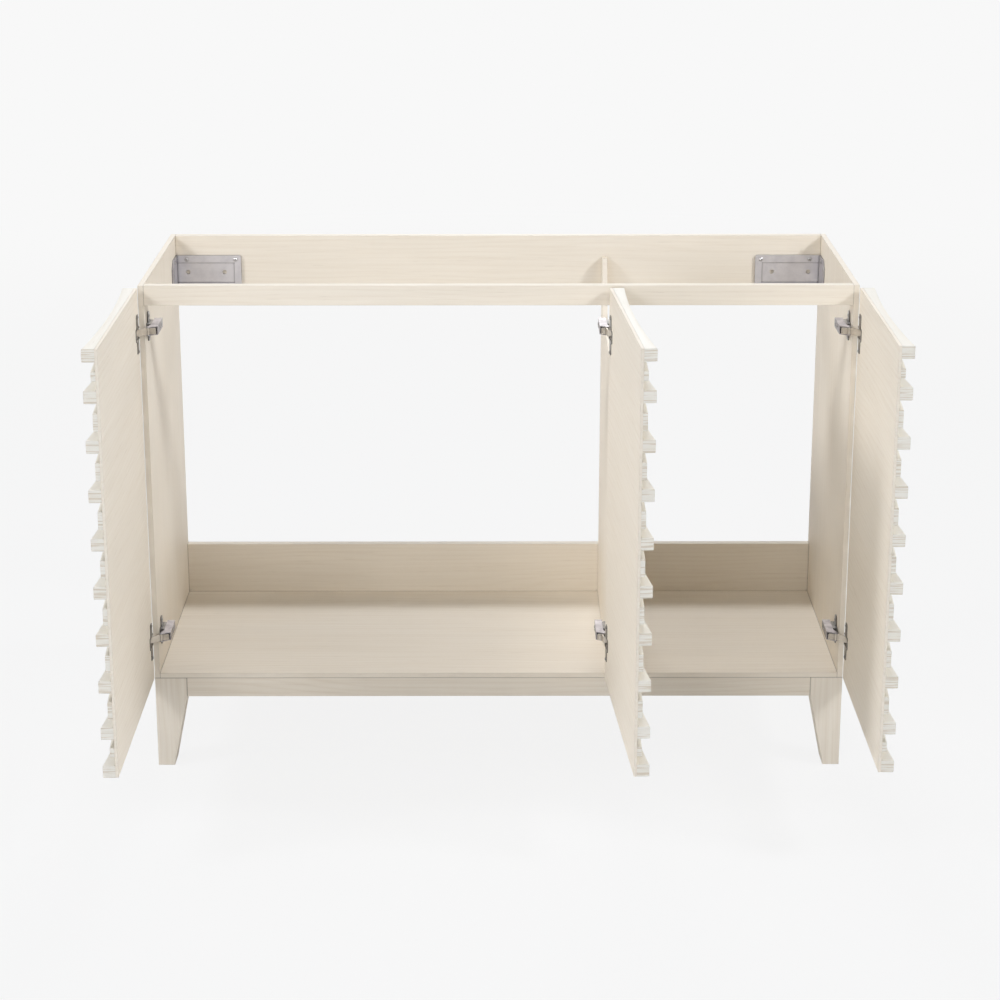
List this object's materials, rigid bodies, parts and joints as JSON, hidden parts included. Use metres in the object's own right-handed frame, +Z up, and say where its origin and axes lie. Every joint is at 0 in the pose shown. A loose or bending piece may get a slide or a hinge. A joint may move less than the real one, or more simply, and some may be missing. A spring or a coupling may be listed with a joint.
{
  "type": "sink base cabinet",
  "caption": "Freestanding sink base cabinet on tapered legs: open top and back, notched partition, hinged doors with a woven relief of bowed bars and slats.",
  "frame": {"origin": "on the floor, under the middle of the box round the cabinet with its doors open as stored", "axes": "+X to the right seen from the front, +Y from the doors to the wall, +Z up"},
  "size_m": [1.2426, 0.824, 0.864],
  "materials": {
    "apron_wood": "whitewashed, matt",
    "arm_steel": "nickel plated",
    "block_wood": "raw",
    "bolt_steel": "zinc plated",
    "bracket_steel": "zinc plated, satin",
    "cup_screw_steel": "nickel plated",
    "cup_steel": "nickel plated",
    "door_bar_wood": "whitewashed, matt",
    "door_board_wood": "whitewashed, matt",
    "door_slat_wood": "whitewashed, matt",
    "dowel_wood": "raw",
    "glide_plastic": "moulded",
    "leg_wood": "whitewashed, matt",
    "link_steel": "nickel plated",
    "partition_wood": "whitewashed, matt",
    "pin_steel": "polished",
    "plate_steel": "nickel plated",
    "rail_wood": "whitewashed, matt",
    "screw_steel": "nickel plated",
    "shelf_wood": "whitewashed, matt",
    "side_apron_wood": "whitewashed, matt",
    "side_wood": "whitewashed, matt"
  },
  "bodies": {
    "cabinet": {"apron_dowels": "dowel_wood", "arm_screws": "screw_steel", "back_apron": "apron_wood", "bottom_shelf": "shelf_wood", "bracket_screws": "screw_steel", "corner_blocks": "block_wood", "foot_glides": "glide_plastic", "front_apron": "apron_wood", "hinge_pins": "pin_steel", "left_apron": "side_apron_wood", "left_back_leg": "leg_wood", "left_corner_bracket": "bracket_steel", "left_front_leg": "leg_wood", "left_hinge_arms": "arm_steel", "left_hinge_plates": "plate_steel", "left_side": "side_wood", "leg_bolts": "bolt_steel", "lower_back_rail": "rail_wood", "middle_hinge_arms": "arm_steel", "middle_hinge_plates": "plate_steel", "panel_dowels": "dowel_wood", "partition": "partition_wood", "plate_screws": "screw_steel", "rail_dowels": "dowel_wood", "right_apron": "side_apron_wood", "right_back_leg": "leg_wood", "right_corner_bracket": "bracket_steel", "right_front_leg": "leg_wood", "right_hinge_arms": "arm_steel", "right_hinge_plates": "plate_steel", "right_side": "side_wood", "top_back_rail": "rail_wood", "top_front_rail": "rail_wood"},
    "left_door": {"left_door_panel": "door_board_wood", "left_door_bars": "door_bar_wood", "left_door_slats": "door_slat_wood", "left_hinge_cups": "cup_steel", "left_cup_screws": "cup_screw_steel"},
    "left_links": {"left_hinge_links": "link_steel"},
    "middle_door": {"middle_door_panel": "door_board_wood", "middle_door_bars": "door_bar_wood", "middle_door_slats": "door_slat_wood", "middle_hinge_cups": "cup_steel", "middle_cup_screws": "cup_screw_steel"},
    "middle_links": {"middle_hinge_links": "link_steel"},
    "right_door": {"right_door_panel": "door_board_wood", "right_door_bars": "door_bar_wood", "right_door_slats": "door_slat_wood", "right_hinge_cups": "cup_steel", "right_cup_screws": "cup_screw_steel"},
    "right_links": {"right_hinge_links": "link_steel"}
  },
  "joints": [
    {"name": "left_door_swing", "type": "hinge", "parent": "cabinet", "child": "left_door", "pos_m": [-0.597, -0.011, 0], "axis": [0, 0, 1], "range_deg": [-10, 90]},
    {"name": "middle_door_swing", "type": "hinge", "parent": "cabinet", "child": "middle_door", "pos_m": [0.1953, -0.0223, 0], "axis": [0, 0, 1], "range_deg": [-94, 3]},
    {"name": "right_door_swing", "type": "hinge", "parent": "cabinet", "child": "right_door", "pos_m": [0.597, -0.011, 0], "axis": [0, 0, 1], "range_deg": [-90, 10]},
    {"name": "left_link_turn", "type": "hinge", "parent": "cabinet", "child": "left_links", "pos_m": [-0.583, -0.0065, 0], "axis": [0, 0, 1], "range_deg": [-10, 90]},
    {"name": "middle_link_turn", "type": "hinge", "parent": "cabinet", "child": "middle_links", "pos_m": [0.184, -0.0065, 0], "axis": [0, 0, 1], "range_deg": [-94, 3]},
    {"name": "right_link_turn", "type": "hinge", "parent": "cabinet", "child": "right_links", "pos_m": [0.583, -0.0065, 0], "axis": [0, 0, 1], "range_deg": [-90, 10]}
  ],
  "couplings": [
    {"joint": "left_link_turn", "follows": "left_door_swing", "ratio": 1},
    {"joint": "middle_link_turn", "follows": "middle_door_swing", "ratio": 1},
    {"joint": "right_link_turn", "follows": "right_door_swing", "ratio": 1}
  ]
}
